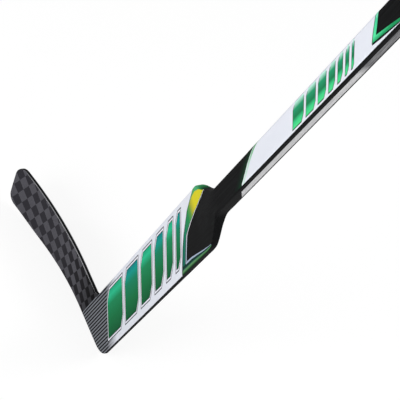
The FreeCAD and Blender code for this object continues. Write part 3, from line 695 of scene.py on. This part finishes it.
# The print runs over the shoulder's edge from front to back: two quarter rounds and the flat between them.
u = shoulder_u[:, None]
radius = corner_radius(u)
inner = half_width(u, inner_width_shares) - radius
angle = np.radians(np.linspace(WRAP_FROM, 90, WRAP_STEPS))
lifted = radius + FILM_LIFT
v, n = there_and_back(inner + lifted * np.sin(angle), crown(u, inner) - radius + lifted * np.cos(angle))
tint = np.broadcast_to(np.interp(u, wrap_stations, wrap_tints), v.shape)
u = np.broadcast_to(u, v.shape)
add_piece("panel_shoulder_wrap", posed(u, v, n), grid_faces(*u.shape), rim_green,
          uv=np.stack([u / METRE, tint], -1), thickness=INK_BODY)

# Shaft tube
# The shaft is a hollow rectangular tube of carbon with rounded corners, glued on a tenon above the throat.
SHAFT_LENGTH = 755.0
SHAFT_ROWS, SHAFT_CROWN_STEPS = 60, 12
add_body("shaft_shell", np.linspace(SHAFT_FOOT, SHAFT_FOOT + SHAFT_LENGTH, SHAFT_ROWS), SHAFT_CROWN_STEPS,
         "shaft_tube")

# Shaft films
# A white film is folded over the corners of each broad side, with a slanted foot and a notched head. Green
# lines follow its foot, a green angle lines the notch, and slanted bars are printed between them.
SHAFT_FILM_LIFT = 0.25
SHAFT_FILM_ROWS, SHAFT_FILM_COLUMNS = 60, 24
HEAD_NOTCH = -9.0
OUTER_FOLD_ANGLE, OUTER_FOLD_STEPS = 38.0, 6
INNER_FOLD_ANGLE, INNER_FOLD_STEPS = 72.0, 10
LINE_FLAT, LINE_COLUMNS, LINE_ROWS = 11.0, 12, 5
ANGLE_STEPS, ANGLE_COLUMNS = 24, 6
SHAFT_BAR_START = 1074.0
SHAFT_BAR_GAP = 10.0
SHAFT_BAR_CLIP = 6.0
SHAFT_BAR_LOW, SHAFT_BAR_HIGH = -11.5, 12.5
SHAFT_LINE_GROW = 1.0
foot_v = np.array([-20.5, -14.0, -7.2, 2.8, 9.5, 13.0, 15.2, 20.5])
foot_u = np.array([849.0, 865.5, 882.5, 906.0, 925.5, 940.5, 953.0, 985.0])
head_v = np.array([-20.5, -13.6, HEAD_NOTCH, 20.5])
head_u = np.array([1470.0, 1425.0, 1342.3, 1378.3])
shaft_bar_widths = (38.0, 32.0, 26.0, 20.0, 15.0, 10.0, 6.0)
shaft_flat = HALF_SHAFT - SHAFT_CORNER
fold_outer, fold_inner = (
    shaft_flat + SHAFT_CORNER * np.sin(np.radians(np.linspace(0, degrees, steps)))
    for degrees, steps in ((OUTER_FOLD_ANGLE, OUTER_FOLD_STEPS), (INNER_FOLD_ANGLE, INNER_FOLD_STEPS)))
v = np.unique(np.concatenate([
    -fold_outer, np.linspace(-shaft_flat, shaft_flat, SHAFT_FILM_COLUMNS)[1:-1], [HEAD_NOTCH], fold_inner]))
foot, head = np.interp(v, foot_v, foot_u), np.interp(v, head_v, head_u)
u = foot + (head - foot) * np.linspace(0, 1, SHAFT_FILM_ROWS)[:, None]
for face, side in SIDES:
    add_layer(f"shaft_{face}_film_print", u, v, SHAFT_FILM_LIFT, side, white_film,
              stands_for=(f"shaft_{face}_film",))

shaft_glow = new_ink("dark_green_blend_ink", ((0, "#121413"), (0.5, "#11201a"), (1, "#123a1f")), 0, METRE)
shaft_line = new_ink("line_green_ink", (
    (0, "#d3eae0"), (0.5, "#bfe2d0"), (0.8, "#74bb86"), (1, "#4a9a5a")), -15, 15)
shaft_angle = new_ink("angle_ink", (
    (0, "#17834d"), (0.2, "#239c60"), (0.38, "#58e6a2"), (0.8, "#47cf98"), (1, "#a8f0d8")), -15, 15)
shaft_green = new_ink("shaft_bar_ink", (
    (0, "#52e08c"), (0.22, "#3fcf86"), (0.42, "#1f7d50"), (0.75, "#2a9a6c"), (1, "#bff3e2")),
    SHAFT_BAR_LOW, SHAFT_BAR_HIGH)
line_v = np.sort(np.concatenate([-fold_outer, np.linspace(-LINE_FLAT, LINE_FLAT, LINE_COLUMNS), fold_inner]))
line_foot = np.interp(line_v, foot_v, foot_u)
line_share = np.linspace(0, 1, LINE_ROWS)[:, None]
lines = ((-34.0, 0.0, shaft_glow, line_share), (3.0, 12.0, shaft_line, None))
angle_left, angle_low, angle_foot, angle_right, angle_high = (
    path_between(points, ANGLE_STEPS) for points in (
    ((1341.5, -8.0), (1350.5, -0.2), (1358, 5.5), (1371, 15)),
    ((1341.5, -8.0), (1362.5, -9.2), (1383.5, -10.8), (1414, -13), (1446, -14.6)),
    ((1338.5, -9.8), (1360.5, -11.6), (1382, -12.6), (1412.5, -13.9), (1446, -14.9)),
    ((1355, -4.2), (1366.5, 5.2), (1378, 15)),
    ((1355, -4.2), (1390.5, -7.5), (1416.5, -10.2), (1446, -13.6))))
angle_parts = (
    ("upper", band(angle_left, angle_right, ANGLE_COLUMNS), shaft_angle),
    ("lower", band(angle_low, angle_high, ANGLE_COLUMNS), shaft_angle),
    ("upper_line", band(angle_left - [[2.4, 0.4]], angle_left, 3), dark_line),
    ("lower_line", band(angle_foot, angle_low, 3), dark_line))
for face, side in SIDES:
    for index, (start, end, ink, blend) in enumerate(lines):
        add_layer(f"shaft_{face}_line_{index + 1}", line_foot + start + (end - start) * line_share, line_v,
                  SHAFT_FILM_LIFT + INK_STEP, side, ink, body=INK_BODY, blend=blend)
    for name, (u, v), ink in angle_parts:
        add_layer(f"shaft_{face}_angle_{name}", u, v, SHAFT_FILM_LIFT + INK_STEP, side, ink,
                  body=INK_BODY)
    bar_start = SHAFT_BAR_START
    for index, width in enumerate(shaft_bar_widths):
        for level, (ink, grow) in enumerate(((dark_line, SHAFT_LINE_GROW), (shaft_green, 0.0))):
            u, v = clipped_bar(bar_start, width, SHAFT_BAR_LOW, SHAFT_BAR_HIGH, SHAFT_BAR_CLIP, grow)
            add_layer(f"shaft_{face}_bar_{index + 1}_layer_{level + 1}", u, v,
                      SHAFT_FILM_LIFT + (level + 1) * INK_STEP, side, ink, body=INK_BODY)
        bar_start += width + SHAFT_BAR_GAP

# Side label
# A plain silver-grey film runs along the outer narrow side of the shaft, its ends cut on a slant. It is pale
# below and darker, with stronger brushing, above.
LABEL_LOW, LABEL_HIGH = -5.7, 3.6
LABEL_START, LABEL_LENGTH, LABEL_SLANT = 45.0, 610.0, 28.0
LABEL_ROWS, LABEL_COLUMNS = 40, 8
LABEL_CHANGE_START, LABEL_CHANGE_END = 1264.0, 1290.0
BRUSH_LENGTH, BRUSH_WIDTH = 40.0, 0.8
grey_film, tree, shader = new_finish("silver_grey_film", {
    "Roughness": 0.36, "Specular IOR Level": 0.0, "Coat Weight": 0.05, "Coat Roughness": 0.15})
coordinates = add_node(tree, "ShaderNodeUVMap", {}, uv_map="along_stick")
brushed = add_node(tree, "ShaderNodeMapping", {
    "Vector": coordinates.outputs["UV"], "Scale": (METRE / BRUSH_LENGTH, METRE / BRUSH_WIDTH, 1)})
streaks = add_node(tree, "ShaderNodeTexNoise", {
    "Vector": brushed.outputs["Vector"], "Scale": 1.0, "Detail": 2.0})
tones = [add_node(tree, "ShaderNodeValToRGB", {"Fac": streaks.outputs["Fac"]}, stops=stops) for stops in (
    ((0.3, "#bdbdbf"), (0.7, "#dcdcdd")), ((0.35, "#4c4c4f"), (0.65, "#a4a4a6")))]
place = add_node(tree, "ShaderNodeSeparateXYZ", {"Vector": coordinates.outputs["UV"]})
change = add_node(tree, "ShaderNodeMapRange", {
    "Value": place.outputs["X"],
    "From Min": LABEL_CHANGE_START / METRE, "From Max": LABEL_CHANGE_END / METRE})
tone = add_node(tree, "ShaderNodeMix", {
    "Factor": change.outputs["Result"], "A": tones[0].outputs["Color"], "B": tones[1].outputs["Color"]},
    data_type="RGBA")
tree.links.new(tone.outputs["Result"], shader.inputs["Base Color"])
label_n = np.linspace(LABEL_LOW, LABEL_HIGH, LABEL_COLUMNS)
label_foot = SHAFT_FOOT + LABEL_START + LABEL_SLANT * (label_n - LABEL_LOW) / (LABEL_HIGH - LABEL_LOW)
u, n = np.broadcast_arrays(label_foot + np.linspace(0, LABEL_LENGTH, LABEL_ROWS)[:, None], label_n)
add_piece("shaft_side_label_print", posed(u, -HALF_SHAFT - FILM_LIFT, n), grid_faces(*u.shape, flip=True),
          grey_film, uv=np.stack([u, n], -1) / METRE, thickness=FILM_BODY,
          stands_for=("shaft_side_label",))

# End cap and inner pieces
# A moulded plastic plug closes the tube, with a fine grit from its mould. The foam cores, spine, rib and
# tenons lie inside and keep their solids.
GRIT_SIZE = 0.8
BUBBLE_SIZE = 1.2
cap_plastic, tree, shader = new_finish("moulded_black_plastic", {
    "Roughness": 0.5, "Specular IOR Level": 0.12})
coordinates = add_node(tree, "ShaderNodeTexCoord", {})
grit = add_node(tree, "ShaderNodeTexNoise", {
    "Vector": coordinates.outputs["Object"], "Scale": METRE / GRIT_SIZE})
tone = add_node(tree, "ShaderNodeValToRGB", {"Fac": grit.outputs["Fac"]}, stops=(
    (0.3, "#141415"), (0.7, "#1d1d1f")))
relief = add_node(tree, "ShaderNodeBump", {
    "Height": grit.outputs["Fac"], "Strength": 0.2, "Distance": 0.1 / METRE})
tree.links.new(tone.outputs["Color"], shader.inputs["Base Color"])
tree.links.new(relief.outputs["Normal"], shader.inputs["Normal"])

# Closed-cell foam: pale and dull, with a bubble pattern.
foam, tree, shader = new_finish("closed_cell_foam", {"Roughness": 0.85})
coordinates = add_node(tree, "ShaderNodeTexCoord", {})
bubbles = add_node(tree, "ShaderNodeTexVoronoi", {
    "Vector": coordinates.outputs["Object"], "Scale": METRE / BUBBLE_SIZE})
tone = add_node(tree, "ShaderNodeValToRGB", {"Fac": bubbles.outputs["Distance"]}, stops=(
    (0.0, "#d8d2bd"), (0.8, "#efe9d6")))
tree.links.new(tone.outputs["Color"], shader.inputs["Base Color"])
dress(cap_plastic, ("shaft_end_cap",))
dress(foam, (
    "shaft_foam_core", "throat_inner_core", "throat_outer_core", "paddle_inner_core", "paddle_outer_core",
    "blade_upper_core", "blade_lower_core"))
dress(carbon_gloss, ("paddle_spine", "blade_rib", "blade_tenon", "shaft_tenon"))

# Floor, light and camera
# A pale floor and a white surround, soft lamps from the forehand side, and the photograph's viewing angle: a
# long lens from above the butt end, rolled so that the shaft runs to the upper right corner.
FLOOR_HALF = 30.0
FLOOR_WHITE_SHARE = 0.7
FLOOR_GLOW = 1.16
SURROUND_LIGHT = 0.42


def seen_directly(tree):
    """Socket that is 1 for rays that show a thing, from the camera, a gloss or a clear body, and 0 for rays
    that only carry light: the largest of the three."""
    rays = add_node(tree, "ShaderNodeLightPath", {})
    shown = add_node(tree, "ShaderNodeMath", {
        0: rays.outputs["Is Camera Ray"], 1: rays.outputs["Is Glossy Ray"]}, operation="MAXIMUM")
    seen = add_node(tree, "ShaderNodeMath", {
        0: shown.outputs["Value"], 1: rays.outputs["Is Transmission Ray"]}, operation="MAXIMUM")
    return seen.outputs["Value"]


floor_mesh = bpy.data.meshes.new("floor")
floor_mesh.from_pydata([
    (-FLOOR_HALF, -FLOOR_HALF, 0), (FLOOR_HALF, -FLOOR_HALF, 0), (FLOOR_HALF, FLOOR_HALF, 0),
    (-FLOOR_HALF, FLOOR_HALF, 0)], [], [(0, 1, 2, 3)])
floor = bpy.data.objects.new("floor", floor_mesh)
bpy.context.scene.collection.objects.link(floor)
floor_paint, tree, shader = new_finish("pale_floor_paint", {
    "Base Color": linear("#f4f4f4"), "Roughness": 0.9, "Specular IOR Level": 0.0})
white_share = add_node(tree, "ShaderNodeMath", {
    0: seen_directly(tree), 1: FLOOR_WHITE_SHARE}, operation="MULTIPLY")
white = add_node(tree, "ShaderNodeEmission", {"Strength": FLOOR_GLOW})
mixed = add_node(tree, "ShaderNodeMixShader", {
    "Fac": white_share.outputs["Value"], 1: shader.outputs["BSDF"], 2: white.outputs["Emission"]})
tree.links.new(mixed.outputs["Shader"], tree.nodes["Material Output"].inputs["Surface"])
floor_mesh.materials.append(floor_paint)

world = bpy.data.worlds.new("studio")
world.use_nodes = True
bpy.context.scene.world = world
tree = world.node_tree
surround = add_node(tree, "ShaderNodeMapRange", {
    "Value": seen_directly(tree), "To Min": SURROUND_LIGHT, "To Max": 1.0})
tree.links.new(surround.outputs["Result"], tree.nodes["Background"].inputs["Strength"])
tree.nodes["Background"].inputs["Color"].default_value = linear("#ffffff")

for name, place, aim, size, power in (
        ("key_lamp", (0.9, -2.3, 2.0), (0.1, 0, 0.5), 1.6, 28),
        ("side_lamp", (2.5, -0.7, 0.5), (0.2, 0, 0.5), 1.0, 13),
        ("fill_lamp", (-1.9, -2.0, 1.1), (0, 0, 0.4), 0.9, 9),
        ("back_lamp", (1.0, 2.0, 2.2), (0.2, 0, 0.6), 1.4, 17)):
    lamp = bpy.data.lights.new(name, "AREA")
    lamp.shape = "DISK"
    lamp.size = size
    lamp.energy = power
    holder = bpy.data.objects.new(name, lamp)
    holder.location = place
    direction = Vector(aim) - Vector(place)
    holder.rotation_euler = direction.to_track_quat("-Z", "Y").to_euler()
    bpy.context.scene.collection.objects.link(holder)

lens = bpy.data.cameras.new("camera")
lens.sensor_width = 36
lens.lens = 183.295
camera = bpy.data.objects.new("camera", lens)
camera.location = (2.01026, -0.90249, 2.54519)
camera.rotation_euler = (math.radians(44.63138), math.radians(-7.04744), math.radians(69.39714))
bpy.context.scene.collection.objects.link(camera)
bpy.context.scene.camera = camera
bpy.context.scene.view_settings.view_transform = "Standard"
